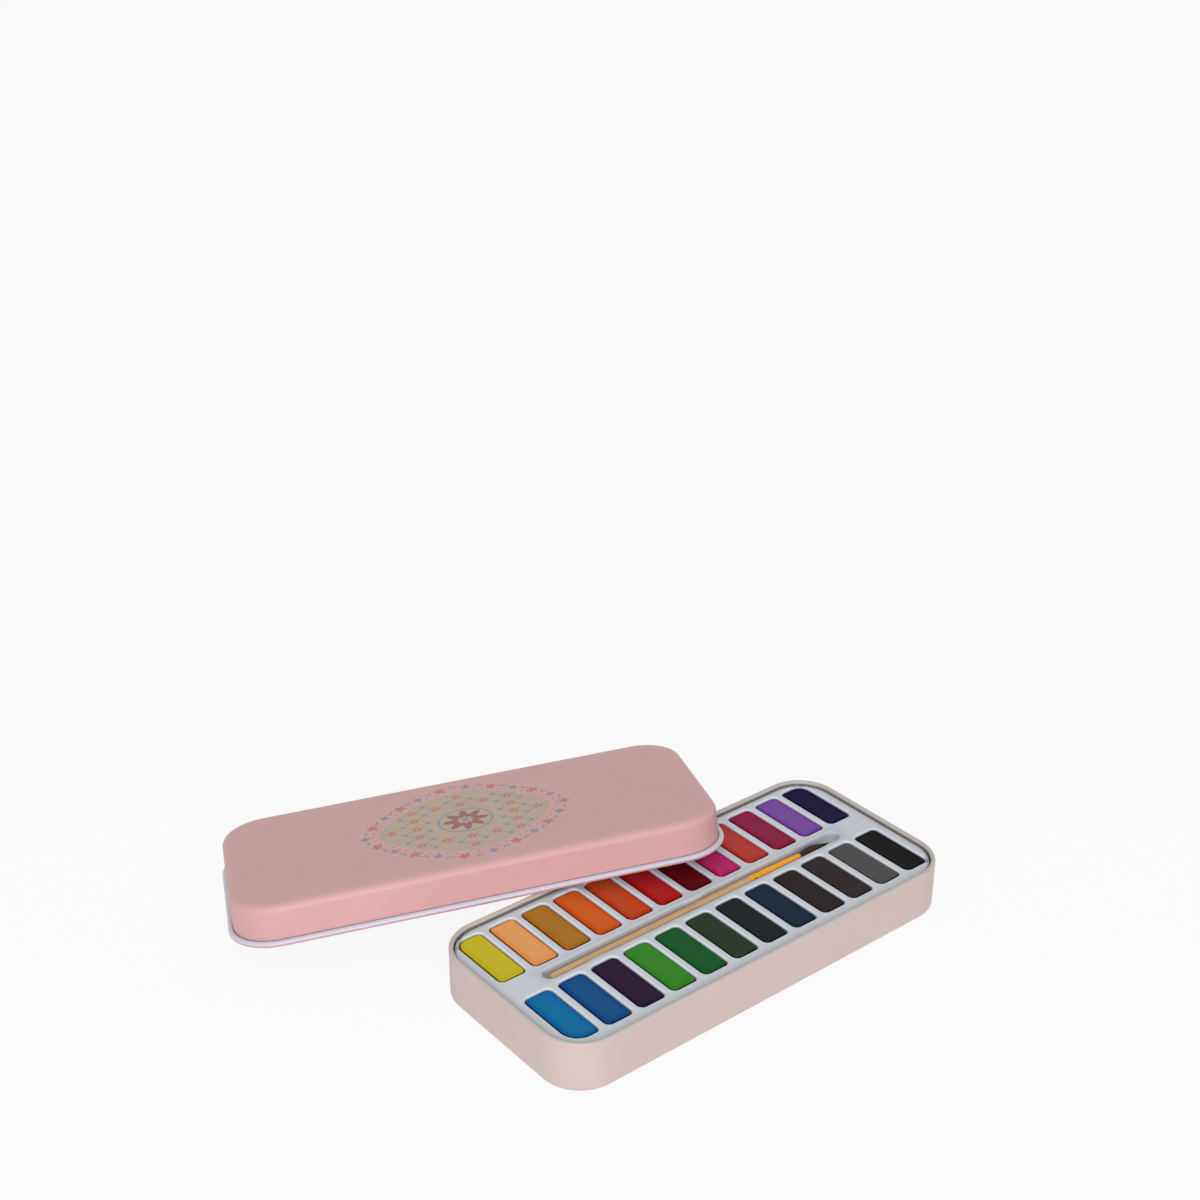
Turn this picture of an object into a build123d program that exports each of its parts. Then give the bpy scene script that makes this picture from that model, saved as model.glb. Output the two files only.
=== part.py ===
from build123d import *
from math import asin, atan2, cos, degrees, hypot, pi, radians, sin, sqrt
import os

# Watercolour paint tin, millimetres, +Z up.
# The origin is the middle of the tin's underside, X runs along the tin's long side and Y to its back.
# The lid lies as it does when the tin is open: it leans on the back rim with its far corner on the table.

# Tin: a drawn sheet-metal tray with an inward roll at its rim
TIN_LENGTH = 202.5
TIN_WIDTH = 90.0
TIN_HEIGHT = 22.5
TIN_CORNER = 18.0
TIN_FOOT = 2.2
TIN_SHEET = 0.4
RIM_ROLL = 1.9

# Lid: a drawn sheet-metal cap that slips over the tin, its lower edge curled outwards
LID_GAP = 0.35
LID_SHEET = 0.4
LID_HEIGHT = 17.0
LID_EDGE = 3.0
LID_BEAD = 2.6

# Where the open lid leans
LEAN_ALONG = -48.0
LEAN_OUT = 50.0
LEAN_TURN = -25.0
LEAN_GAP = 0.3

# Insert: one thin formed plastic sheet with a skirt down to the tin's floor
INSERT_SHEET = 0.6
INSERT_DROP = 1.7
INSERT_GAP = 0.35
INSERT_SHIFT = 1.0
WELL_DEPTH = 9.0
WELL_CORNER = 2.2
WELL_END_CORNERS = (7.5, 2.4, 5.0, 5.0)
WELL_LIP = 1.0

# Paint cakes: two rows, each cake standing in its own well
CAKE_PITCH = 16.0
CAKE_WIDTH = 12.0
CAKE_LENGTH = 31.0
CAKE_GAP = 0.35
CAKE_HEIGHT = 8.7
CAKE_EDGE = 0.9
ROW_GAP = 13.3

# Brush trough, in the web between the two rows
TROUGH_LENGTH = 158.0
TROUGH_GAP = 0.9
TROUGH_DEPTH = 5.2
TROUGH_FLOOR_RADIUS = 2.0
TROUGH_LIP = 1.0
NUB_LENGTH = 11.0
NUB_RADIUS = 1.2
NUB_GAP = 0.3
BACK_NUB_X = 0.0
FRONT_NUB_X = -54.5

# Brush: wooden handle, metal ferrule, tuft of bristles
BRUSH_START = -76.0
HANDLE_LENGTH = 103.5
HANDLE_END_DIAMETER = 3.4
HANDLE_DIAMETER = 4.1
HANDLE_TENON = 9.0
FERRULE_LENGTH = 29.0
FERRULE_SHEET = 0.2
FERRULE_MOUTH_DIAMETER = 3.3
FERRULE_FIT = 0.02
CRIMP_RADIUS = 0.25
CRIMP_PLACES = (2.6, 5.8)
BRUSH_LIFT = 0.12
TUFT_ROOT = 4.0
TUFT_OUT = 18.2
TUFT_BELLY_AT = 7.5
TUFT_BELLY = 1.45
TUFT_TIP = 0.35
TUFT_POINTING = 0.3
TUFT_SLICE = 2.0
STRANDS = 300
STRAND_FILL = 0.36

BACK_ROW = ("lemon_yellow", "peach", "ochre", "orange", "burnt_orange", "red",
            "dark_red", "magenta", "coral", "crimson", "violet", "indigo")
FRONT_ROW = ("cerulean", "cobalt", "aubergine", "leaf_green", "forest_green", "olive",
             "black_green", "ink_blue", "umber", "sepia", "slate_grey", "black")

# Sizes that follow from the ones above
INSERT_TOP = TIN_HEIGHT - INSERT_DROP
WELL_FLOOR = INSERT_TOP - WELL_DEPTH
ROW_CENTRE = (ROW_GAP + CAKE_LENGTH) / 2 + CAKE_GAP
FERRULE_DIAMETER = HANDLE_DIAMETER + 2 * FERRULE_SHEET
TROUGH_WIDTH = FERRULE_DIAMETER + 2 * TROUGH_GAP
TROUGH_FLOOR = INSERT_TOP - TROUGH_DEPTH
BRUSH_Z = TROUGH_FLOOR + BRUSH_LIFT + FERRULE_DIAMETER / 2
LID_LENGTH = TIN_LENGTH + 2 * (LID_GAP + LID_SHEET)
LID_WIDTH = TIN_WIDTH + 2 * (LID_GAP + LID_SHEET)
LID_CORNER = TIN_CORNER + LID_GAP + LID_SHEET
BEAD_OUT = LID_BEAD / 2 - LID_SHEET


def slab(length, width, corner, low, high):
    """Upright prism on a rounded rectangle about the Z axis."""
    return Pos(0, 0, low) * extrude(RectangleRounded(length, width, corner), amount=high - low)


def ring_tube(length, width, corner, radius, height):
    """Round tube bent into a closed rounded rectangle; the sizes are those of its centre line."""
    path = Pos(0, 0, height) * RectangleRounded(length, width, corner).wires()[0]
    section = Plane(path @ 0, z_dir=path % 0) * Circle(radius)
    return sweep(section, path=path)


def make_tin():
    """Drawn tray: rounded foot, upright wall, rim rolled inwards."""
    roll = RIM_ROLL / 2
    outer = slab(TIN_LENGTH, TIN_WIDTH, TIN_CORNER, 0, TIN_HEIGHT - roll)
    outer = fillet(outer.edges().group_by(Axis.Z)[0], TIN_FOOT)
    inner = slab(TIN_LENGTH - 2 * TIN_SHEET, TIN_WIDTH - 2 * TIN_SHEET, TIN_CORNER - TIN_SHEET,
                 TIN_SHEET, TIN_HEIGHT)
    inner = fillet(inner.edges().group_by(Axis.Z)[0], TIN_FOOT - TIN_SHEET)
    rim = ring_tube(TIN_LENGTH - RIM_ROLL, TIN_WIDTH - RIM_ROLL, TIN_CORNER - roll, roll,
                    TIN_HEIGHT - roll)
    return outer - inner + rim


def make_lid():
    """Cap in its own frame: the curled lower edge stands on Z = 0 and the opening looks down."""
    bead = LID_BEAD / 2
    outer = slab(LID_LENGTH, LID_WIDTH, LID_CORNER, bead, LID_HEIGHT)
    outer = fillet(outer.edges().group_by(Axis.Z)[-1], LID_EDGE)
    inner = slab(LID_LENGTH - 2 * LID_SHEET, LID_WIDTH - 2 * LID_SHEET, LID_CORNER - LID_SHEET,
                 0, LID_HEIGHT - LID_SHEET)
    inner = fillet(inner.edges().group_by(Axis.Z)[-1], LID_EDGE - LID_SHEET)
    curl = ring_tube(LID_LENGTH + 2 * BEAD_OUT, LID_WIDTH + 2 * BEAD_OUT, LID_CORNER + BEAD_OUT,
                     bead, bead)
    return outer - inner + curl


def lean_angle():
    """Slope at which the turned lid touches both the back rim's roll and the table."""
    turn = radians(abs(LEAN_TURN))
    bead = LID_BEAD / 2
    reach = sin(turn) * (LID_LENGTH / 2 - LID_CORNER) + cos(turn) * (LID_WIDTH / 2 - LID_CORNER)
    out = LEAN_OUT + reach + LID_CORNER + BEAD_OUT
    above = RIM_ROLL / 2 + LEAN_GAP + bead
    rise = TIN_HEIGHT - RIM_ROLL / 2 - bead
    return asin(rise / hypot(above, out)) + atan2(above, out)


def lean(lid):
    """Carry the lid from its own frame to where it leans on the back rim."""
    slope = lean_angle()
    stand_off = RIM_ROLL / 2 + LEAN_GAP
    foot_y = TIN_WIDTH / 2 - RIM_ROLL / 2 + stand_off * sin(slope)
    foot_z = TIN_HEIGHT - RIM_ROLL / 2 + stand_off * cos(slope)
    place = Pos(LEAN_ALONG, foot_y + LEAN_OUT * cos(slope), foot_z - LEAN_OUT * sin(slope))
    return place * Rot(-degrees(slope), 0, 0) * Rot(0, 0, LEAN_TURN) * lid


def four_corners(width, length, radii):
    """Rectangle face with its own radius at each corner, anticlockwise from the low left one."""
    sides = ((-1, -1), (1, -1), (1, 1), (-1, 1))
    arcs = []
    for number, (side_x, side_y) in enumerate(sides):
        radius = radii[number]
        centre = (side_x * (width / 2 - radius), side_y * (length / 2 - radius))
        arcs.append(CenterArc(centre, radius, 180 + 90 * number, 90))
    lines = [Line(arcs[number] @ 1, arcs[(number + 1) % 4] @ 0) for number in range(4)]
    return make_face(arcs + lines)


def pan_face(column, row, grow):
    """Outline of one pan, grown all round; the end pans give way to the tin's round corners."""
    radii = [WELL_CORNER] * 4
    if column in (0, len(FRONT_ROW) - 1):
        corner = ((0, -1), (1, -1), (1, 1), (0, 1)).index((min(column, 1), row))
        radii[corner] = WELL_END_CORNERS[corner]
    radii = [radius + grow for radius in radii]
    x = (column - (len(FRONT_ROW) - 1) / 2) * CAKE_PITCH
    face = four_corners(CAKE_WIDTH + 2 * grow, CAKE_LENGTH + 2 * grow, radii)
    return Pos(x, INSERT_SHIFT + row * ROW_CENTRE) * face


def pans(grow, low, high):
    """All pan prisms of both rows."""
    return [Pos(0, 0, low) * extrude(pan_face(column, row, grow), amount=high - low)
            for row in (-1, 1) for column in range(len(FRONT_ROW))]


def trough_block(grow):
    """Prism of the brush trough with rounded ends and a rounded floor, grown by a wall."""
    width = TROUGH_WIDTH + 2 * grow
    length = TROUGH_LENGTH + 2 * grow
    block = Pos(0, INSERT_SHIFT, TROUGH_FLOOR - grow) * extrude(
        RectangleRounded(length, width, width / 2 - 0.01), amount=TROUGH_DEPTH + grow)
    return fillet(block.edges().group_by(Axis.Z)[0], TROUGH_FLOOR_RADIUS + grow)


def nub(x, side):
    """Small rounded swelling on the trough's wall that keeps the handle from rattling."""
    y = INSERT_SHIFT + side * (FERRULE_DIAMETER / 2 + NUB_GAP + NUB_RADIUS)
    height = INSERT_TOP - NUB_RADIUS
    length = NUB_LENGTH - 2 * NUB_RADIUS
    barrel = Pos(x, y, height) * Rot(0, 90, 0) * Cylinder(NUB_RADIUS, length)
    ends = [Pos(x + end * length / 2, y, height) * Sphere(NUB_RADIUS) for end in (-1, 1)]
    return barrel + ends


def make_insert():
    """Formed sheet: top with softly rounded wells and trough, cups below, skirt to the floor."""
    inset = max(RIM_ROLL + INSERT_GAP, TIN_FOOT)
    length = TIN_LENGTH - 2 * inset
    width = TIN_WIDTH - 2 * inset
    corner = TIN_CORNER - inset
    wells = pans(CAKE_GAP, WELL_FLOOR, INSERT_TOP)
    body = slab(length, width, corner, TIN_SHEET, INSERT_TOP) - wells - trough_block(0)
    top = body.faces().filter_by(Plane.XY).sort_by(Axis.Z)[-1]
    wires = sorted(top.inner_wires(), key=lambda wire: wire.bounding_box().size.X)
    body = fillet([edge for wire in wires[:-1] for edge in wire.edges()], WELL_LIP)
    top = body.faces().filter_by(Plane.XY).sort_by(Axis.Z)[-1]
    slot = max(top.inner_wires(), key=lambda wire: wire.bounding_box().size.X)
    body = fillet(slot.edges(), TROUGH_LIP)
    hollow = slab(length - 2 * INSERT_SHEET, width - 2 * INSERT_SHEET, corner - INSERT_SHEET,
                  TIN_SHEET, INSERT_TOP - INSERT_SHEET)
    cups = pans(CAKE_GAP + INSERT_SHEET, WELL_FLOOR - INSERT_SHEET, INSERT_TOP)
    hollow = hollow - cups - trough_block(INSERT_SHEET)
    return body - hollow + [nub(BACK_NUB_X, 1), nub(FRONT_NUB_X, -1)]


def make_cake(column, row):
    """One pressed cake of paint with a softened top edge."""
    cake = Pos(0, 0, WELL_FLOOR) * extrude(pan_face(column, row, 0), amount=CAKE_HEIGHT)
    return fillet(cake.edges().group_by(Axis.Z)[-1], CAKE_EDGE)


def along_brush(solid, start):
    """Lay a piece turned about Z along the brush's axis, from a distance past the handle's end."""
    return Pos(BRUSH_START + start, INSERT_SHIFT, BRUSH_Z) * Rot(0, 90, 0) * solid


def spun(points):
    """Solid of revolution about Z from a closed profile of (radius, height) points."""
    profile = make_face(Polyline(*[(radius, 0, height) for radius, height in points], close=True))
    return revolve(profile, Axis.Z)


def ferrule_bore(place):
    """Inner radius of the ferrule at a distance from its handle end."""
    start = HANDLE_DIAMETER / 2
    end = FERRULE_MOUTH_DIAMETER / 2 - FERRULE_SHEET
    return start + (end - start) * place / FERRULE_LENGTH


def make_handle():
    """Tapered stick with a rounded end and a tenon that sits inside the ferrule."""
    body = HANDLE_LENGTH
    end = HANDLE_END_DIAMETER / 2
    tenon = [(ferrule_bore(place) - FERRULE_FIT, body + place) for place in (HANDLE_TENON, 0)]
    stick = spun([(0, 0), (0, body + HANDLE_TENON)] + tenon + [(end, end), (end, 0)])
    foot = stick.edges().group_by(Axis.Z)[0]
    return along_brush(fillet(foot, end * 0.8), 0)


def make_ferrule():
    """Tapered tube with two crimped grooves near the handle."""
    outer = [(ferrule_bore(place) + FERRULE_SHEET, place) for place in (FERRULE_LENGTH, 0)]
    inner = [(ferrule_bore(place), place) for place in (0, FERRULE_LENGTH)]
    tube = spun(inner + outer)
    grooves = [Pos(0, 0, place) * Torus(ferrule_bore(place) + FERRULE_SHEET + CRIMP_RADIUS * 0.4,
                                        CRIMP_RADIUS) for place in CRIMP_PLACES]
    return along_brush(tube - grooves, HANDLE_LENGTH)


def tuft_spread(height):
    """Width of the tuft at a height past the ferrule's mouth, as a share of its width at the root."""
    start = -TUFT_ROOT + TUFT_SLICE
    if height < TUFT_BELLY_AT:
        return 1 + (TUFT_BELLY - 1) * (height - start) / (TUFT_BELLY_AT - start)
    return TUFT_BELLY + (TUFT_TIP - TUFT_BELLY) * (height - TUFT_BELLY_AT) / (TUFT_OUT - TUFT_BELLY_AT)


def strand(number, root):
    """One three-sided bristle; at any height all bristles keep one common spread, so none cross."""
    share = sqrt((number + 0.5) / STRANDS)
    angle = number * pi * (3 - sqrt(5))
    thick = root * sqrt(pi / STRANDS) * STRAND_FILL
    reach = TUFT_OUT * (1 - TUFT_POINTING * share * share)
    wires = []
    for height in (-TUFT_ROOT + TUFT_SLICE / 2, TUFT_BELLY_AT, reach):
        spread = tuft_spread(height)
        corners = [(spread * (share * root * cos(angle) + thick * cos(angle + turn * 2 * pi / 3)),
                    spread * (share * root * sin(angle) + thick * sin(angle + turn * 2 * pi / 3)),
                    height) for turn in range(3)]
        wires.append(Wire.make_polygon(corners, close=True))
    return Solid.make_loft(wires, ruled=True)


def make_bristles():
    """Tuft: bristles fused to a slice of the plug that holds them inside the ferrule's mouth."""
    bore = ferrule_bore(FERRULE_LENGTH) - FERRULE_FIT
    root = bore / (1 + STRAND_FILL * sqrt(pi / STRANDS)) - FERRULE_FIT
    plug = Pos(0, 0, -TUFT_ROOT + TUFT_SLICE / 2) * Cylinder(bore, TUFT_SLICE)
    tuft = plug.fuse(*[strand(number, root) for number in range(STRANDS)])
    return along_brush(tuft, HANDLE_LENGTH + FERRULE_LENGTH)


def main():
    os.makedirs("parts", exist_ok=True)
    nodes = {
        "tin_base": make_tin(),
        "insert_tray": make_insert(),
        "lid_shell": lean(make_lid()),
        "brush_handle": make_handle(),
        "brush_ferrule": make_ferrule(),
        "brush_bristles": make_bristles(),
    }
    for row, names in ((1, BACK_ROW), (-1, FRONT_ROW)):
        for column, name in enumerate(names):
            nodes["cake_" + name] = make_cake(column, row)
    for name, solid in nodes.items():
        export_step(solid, "parts/" + name + ".step")
        print(name, round(solid.volume, 2))


main()
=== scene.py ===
from math import asin, atan2, cos, hypot, pi, radians, sin, sqrt

import bmesh
import bpy
import numpy as np
from bpy.props import FloatProperty, FloatVectorProperty, IntProperty, PointerProperty
from bpy.types import Operator, Panel, PropertyGroup
from mathutils import Matrix, Vector


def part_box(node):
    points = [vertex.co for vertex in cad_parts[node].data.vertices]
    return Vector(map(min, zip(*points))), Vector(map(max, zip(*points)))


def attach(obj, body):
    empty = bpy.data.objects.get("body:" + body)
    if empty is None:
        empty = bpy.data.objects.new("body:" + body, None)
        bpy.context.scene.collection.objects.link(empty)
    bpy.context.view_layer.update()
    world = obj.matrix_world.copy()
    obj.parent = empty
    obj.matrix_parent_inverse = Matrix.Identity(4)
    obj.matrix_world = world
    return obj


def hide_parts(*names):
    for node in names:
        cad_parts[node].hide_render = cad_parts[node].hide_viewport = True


bl_info = {
    "name": "Watercolour Paint Tin",
    "version": (1, 0, 0),
    "blender": (4, 5, 0),
    "location": "3D View > Sidebar > Paint Tin",
    "description": "Dresses the construction model of an open watercolour paint tin",
    "category": "Object",
}

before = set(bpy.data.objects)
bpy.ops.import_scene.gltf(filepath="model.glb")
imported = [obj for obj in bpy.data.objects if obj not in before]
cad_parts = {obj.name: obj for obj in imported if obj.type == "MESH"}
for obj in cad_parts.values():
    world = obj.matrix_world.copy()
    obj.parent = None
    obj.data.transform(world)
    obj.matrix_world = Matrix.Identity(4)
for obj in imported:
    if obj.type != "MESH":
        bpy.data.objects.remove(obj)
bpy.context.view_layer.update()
MM = 0.001

# Fineness of the meshes
CORNER_STEPS = 20
LEAD = 0.15 * MM
WELD = 0.001 * MM
SHARP = radians(50)
TROUGH_STEPS = 120
CAKE_RIM_STEPS = 6
CAKE_DISH_STEPS = 12
HANDLE_SIDES = 40
FERRULE_SIDES = 96
HAIR_SIDES = 5

# What the construction model says
TIN_LOW, TIN_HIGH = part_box("tin_base")
INSERT_LOW, INSERT_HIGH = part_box("insert_tray")
HANDLE_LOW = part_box("brush_handle")[0]
FERRULE_LOW, FERRULE_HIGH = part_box("brush_ferrule")
BRISTLES_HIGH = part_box("brush_bristles")[1]
BRUSH_Y = (FERRULE_LOW.y + FERRULE_HIGH.y) / 2
BRUSH_Z = (FERRULE_LOW.z + FERRULE_HIGH.z) / 2

# Paints of the back row and the front row, each from left to right, chosen in coarse steps
BACK_ROW = {
    "lemon_yellow": "d8c828", "peach": "f8b068", "ochre": "b88028", "orange": "e06820",
    "burnt_orange": "d05020", "red": "c02020", "dark_red": "680810", "magenta": "d03078",
    "coral": "c84840", "crimson": "982850", "violet": "8858b0", "indigo": "201840",
}
FRONT_ROW = {
    "cerulean": "0878b0", "cobalt": "185890", "aubergine": "302038", "leaf_green": "409030",
    "forest_green": "206030", "olive": "304030", "black_green": "202828", "ink_blue": "203040",
    "umber": "302828", "sepia": "383030", "slate_grey": "585858", "black": "181818",
}

# Plan of the print: power of the field's outline, shares of its size, and pieces in a ring
FIELD_POWER = 1.5
ROW_SHARE = 0.8
LATTICE_REACH = 0.86
STAR_MARGIN = 1.25
BEAD_RING, BEADS = 1.075, 56
SPRIG_RING, SPRIGS = 1.16, 44

# Turn of a leaf, and share of a layer of ink that is sunk into what is beneath
LEAF_TURN = 0.55
INK_OVERLAP = 0.4

# Camera's sensor in millimetres, and the key lamp in metres
SENSOR_WIDTH = 36
KEY_SIDE = 1.2
KEY_PLACE = (-0.95, -1.15, 0.75)
KEY_TARGET = (0, 0.03, 0)


def size(name, text, value):
    """A length in metres that a user may change."""
    return FloatProperty(name=name, description=text, default=value, unit="LENGTH",
                         subtype="DISTANCE", precision=5)


def amount(name, text, value, subtype="NONE"):
    """A plain number that a user may change."""
    return FloatProperty(name=name, description=text, default=value, subtype=subtype)


def count(name, text, value):
    """A whole number that a user may change."""
    return IntProperty(name=name, description=text, default=value)


def rotation(name, text, degrees):
    """An angle that a user may change."""
    return FloatProperty(name=name, description=text, default=radians(degrees), unit="ROTATION",
                         subtype="ANGLE")


def linear(code):
    """Linear light of a colour written as six hexadecimal digits."""
    shown = np.array([int(code[place:place + 2], 16) for place in (0, 2, 4)]) / 255
    light = np.where(shown < 0.04045, shown / 12.92, ((shown + 0.055) / 1.055) ** 2.4)
    return light.tolist()


def colour(name, text, code):
    """A colour that a user may change."""
    return FloatVectorProperty(name=name, description=text, default=linear(code), size=3,
                               min=0, max=1, subtype="COLOR")


class TinSettings(PropertyGroup):
    """Sizes and finish of the drawn tin."""
    length: size("Length", "Long side of the tin", TIN_HIGH.x - TIN_LOW.x)
    width: size("Width", "Short side of the tin", TIN_HIGH.y - TIN_LOW.y)
    height: size("Height", "Table to the top of the rim", TIN_HIGH.z - TIN_LOW.z)
    corner: size("Corner", "Radius of the upright corners", 18 * MM)
    foot: size("Foot", "Radius between wall and floor", 2.2 * MM)
    sheet: size("Sheet", "Thickness of the metal", 0.4 * MM)
    roll: size("Roll", "Diameter of the rolled rim", 1.9 * MM)
    enamel: colour("Enamel", "Outside of the wall", "d8c4c0")
    # Foot tone is painted shade: a darker enamel where the wall turns under to the table
    foot_shade_tone: colour("Foot tone", "Enamel where it turns under", "d2abae")
    lacquer: colour("Lacquer", "Rolled rim and inside", "c8c0b8")


class LidSettings(PropertyGroup):
    """Sizes, place and finish of the lid."""
    gap: size("Gap", "Play between the closed lid and the tin", 0.35 * MM)
    sheet: size("Sheet", "Thickness of the metal", 0.4 * MM)
    height: size("Height", "Lower edge to the top", 17 * MM)
    edge: size("Edge", "Radius between the top and the wall", 3 * MM)
    bead: size("Bead", "Diameter of the curled lower edge", 2.6 * MM)
    # The dark line over the bead is painted shade in the crevice between the wall and the bead
    crevice: size("Crevice", "Height of the dark line over the bead", 0.22 * MM)
    lean_along: size("Along", "Where the leaning lid's middle stands along the tin", -48 * MM)
    lean_out: size("Out", "Rim to the leaning lid's middle, down the slope", 50 * MM)
    lean_gap: size("Rim gap", "Clearance between the rim and the leaning lid", 0.3 * MM)
    lean_turn: rotation("Turn", "Turn of the leaning lid about its own axis", -25)
    enamel: colour("Enamel", "Top and wall", "e0acac")
    lacquer: colour("Lacquer", "Bead and inside", "d4d4e4")
    # Colour of the painted shade in the crevice over the bead
    crevice_shade_tone: colour("Crevice tone", "Dark line over the bead", "6d4c55")


class PrintSettings(PropertyGroup):
    """Sizes and inks of the ornament printed on the lid."""
    length: size("Length", "Long way of the cream field", 74 * MM)
    width: size("Width", "Short way of the cream field", 62 * MM)
    pitch: size("Pitch", "Lattice of the small flowers", 10.5 * MM)
    flower: size("Flower", "Radius of a small flower", 2.5 * MM)
    star: size("Star", "Radius of the star in the middle", 11 * MM)
    bead: size("Bead", "Radius of a bead round the field", 0.55 * MM)
    ink: size("Ink", "Thickness of one layer of ink", 0.012 * MM)
    field: colour("Field", "Ink of the field", "c4b09c")
    coral: colour("Coral", "Ink of the flowers", "cc7c72")
    blue: colour("Blue", "Ink of the dots and rings", "8f93a6")
    sage: colour("Sage", "Ink of the leaves", "93a08c")
    red: colour("Red", "Ink of the star", "a4605c")


class InsertSettings(PropertyGroup):
    """Sizes and finish of the formed plastic insert."""
    sheet: size("Sheet", "Thickness of the plastic", 0.6 * MM)
    corner: size("Corner", "Radius of the outer corners", 15.75 * MM)
    edge: size("Edge", "Radius between the top and the skirt", 1.1 * MM)
    lip: size("Lip", "Radius round each well", 1 * MM)
    well_gap: size("Well gap", "Play between a cake and its well", 0.35 * MM)
    well_depth: size("Well depth", "Top of the insert to the floor of a well", 9 * MM)
    trough_length: size("Trough length", "Long way of the brush trough", 158 * MM)
    trough_gap: size("Trough gap", "Play beside the ferrule", 0.9 * MM)
    trough_depth: size("Trough depth", "Top of the insert to the trough's floor", 5.2 * MM)
    trough_floor: size("Trough floor", "Radius along the trough's floor", 2 * MM)
    trough_lip: size("Trough lip", "Radius round the trough", 1 * MM)
    nub_length: size("Nub length", "Swelling that holds the brush", 13 * MM)
    nub_reach: size("Nub reach", "How far the swelling stands out of the wall", 0.75 * MM)
    back_nub: size("Back nub", "Place of the back swelling along the tin", 0)
    front_nub: size("Front nub", "Place of the front swelling along the tin", -54.5 * MM)
    plastic: colour("Plastic", "Formed sheet", "c8ccd4")


class CakeSettings(PropertyGroup):
    """Sizes of the cakes of paint."""
    corner: size("Corner", "Radius of an upright corner", 2.2 * MM)
    front_left: size("Front left", "Radius beside the tin's front left corner", 7.5 * MM)
    front_right: size("Front right", "Radius beside the tin's front right corner", 2.4 * MM)
    back_right: size("Back right", "Radius beside the tin's back right corner", 5 * MM)
    back_left: size("Back left", "Radius beside the tin's back left corner", 5 * MM)
    edge: size("Edge", "Radius round the top", 0.9 * MM)
    rim: size("Rim", "Width of the raised rim", 2.2 * MM)
    dish: size("Dish", "How far the middle lies under the rim", 0.2 * MM)
    wave_along: size("Wave along", "Slow wave along the tin, for one radian", 2.1 * MM)
    wave_across: size("Wave across", "Slow wave across the tin, for one radian", 3.3 * MM)
    uneven: size("Uneven", "Height of each wave in the middle", 0.03 * MM)


class BrushSettings(PropertyGroup):
    """Sizes and finish of the brush."""
    end_radius: size("Handle end", "Radius of the handle at its end", 1.7 * MM)
    nose: size("Nose", "Length of the handle's rounded end", 1.36 * MM)
    handle_radius: size("Handle", "Radius of the handle at the ferrule", 2.05 * MM)
    mouth_radius: size("Mouth", "Radius of the ferrule at the bristles", 1.65 * MM)
    crimped: size("Crimped part", "Part of the ferrule with both rings", 9 * MM)
    first_crimp: size("First crimp", "Handle's end of the ferrule to the first ring", 2.6 * MM)
    second_crimp: size("Second crimp", "Handle's end of the ferrule to the second ring", 5.8 * MM)
    crimp: size("Crimp", "Depth of a crimped ring", 0.1 * MM)
    crimp_width: size("Crimp width", "Width of a crimped ring along the ferrule", 1.5 * MM)
    dimple: size("Dimple", "Depth of a punched dimple", 0.4 * MM)
    dimple_width: size("Dimple width", "Width of a dimple along the ferrule", 2.4 * MM)
    dimple_share: amount("Dimple share", "Share of the ring that dimples take up", 0.85)
    dimples: count("Dimples", "Dimples in each ring", 6)
    buried: size("Buried", "Depth of the tuft's root inside the ferrule", 3 * MM)
    strands: count("Strands", "Bristles in the tuft", 900)
    hair_radius: size("Hair", "Radius of a bristle at its root", 0.055 * MM)
    belly: amount("Belly", "How much the tuft swells, as a share of its root", 0.5)
    shorter: amount("Shorter", "How much shorter the outer bristles are, as a share", 0.3)
    ragged: amount("Ragged", "How unevenly the bristles end, as a share", 0.05)
    stray: size("Stray", "Room for the bend of a bristle's tip", 0.06 * MM)
    wood: colour("Wood", "Bare handle", "d8b27e")
    grain: colour("Grain", "Darker grain of the handle", "b48650")
    metal: colour("Metal", "Ferrule", "eca02c")
    hair: colour("Hair", "Bristles", "3a281e")


class StageSettings(PropertyGroup):
    """Camera, floor and lights."""
    lens: amount("Lens", "Focal length in millimetres", 57.15)
    azimuth: rotation("Azimuth", "Camera's way round the tin", -38.72)
    elevation: rotation("Elevation", "Camera's height over the table", 26.265)
    distance: size("Distance", "Camera to its target", 1.0667)
    target_x: size("Target X", "Point on the table that the camera looks at", 167.25 * MM)
    target_y: size("Target Y", "Point on the table that the camera looks at", 273.74 * MM)
    floor_half: size("Floor", "Half of the floor's side", 5.0)
    floor_tone: colour("Floor", "Table", "e6e6e6")
    key_power: amount("Key", "Power of the key lamp", 15, "POWER")
    ambient: amount("Ambient", "Light of the surroundings", 0.52)
    lift: amount("Lift", "Share of plain white in the floor that the camera sees", 0.9)


class PaintColours(PropertyGroup):
    """One colour for each cake of paint."""
    __annotations__ = {name: colour(name.replace("_", " ").title(), "Cake of paint", code)
                       for name, code in (BACK_ROW | FRONT_ROW).items()}


class PaintTinSettings(PropertyGroup):
    """All settings of the paint tin."""
    tin: PointerProperty(type=TinSettings)
    lid: PointerProperty(type=LidSettings)
    print: PointerProperty(type=PrintSettings)
    insert: PointerProperty(type=InsertSettings)
    cakes: PointerProperty(type=CakeSettings)
    paints: PointerProperty(type=PaintColours)
    brush: PointerProperty(type=BrushSettings)
    stage: PointerProperty(type=StageSettings)


def arc(centre, radius, start, end, steps=8):
    """Points of an arc: centre plus radius times (cos, sin) of an angle in degrees, from start to end."""
    angle = np.radians(np.linspace(start, end, steps + 1))
    return np.asarray(centre) + radius * np.stack([np.cos(angle), np.sin(angle)], -1)


def path(*stretches):
    """One profile from points and stretches of points, in order."""
    return np.concatenate([np.reshape(stretch, (-1, 2)) for stretch in stretches])


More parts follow.
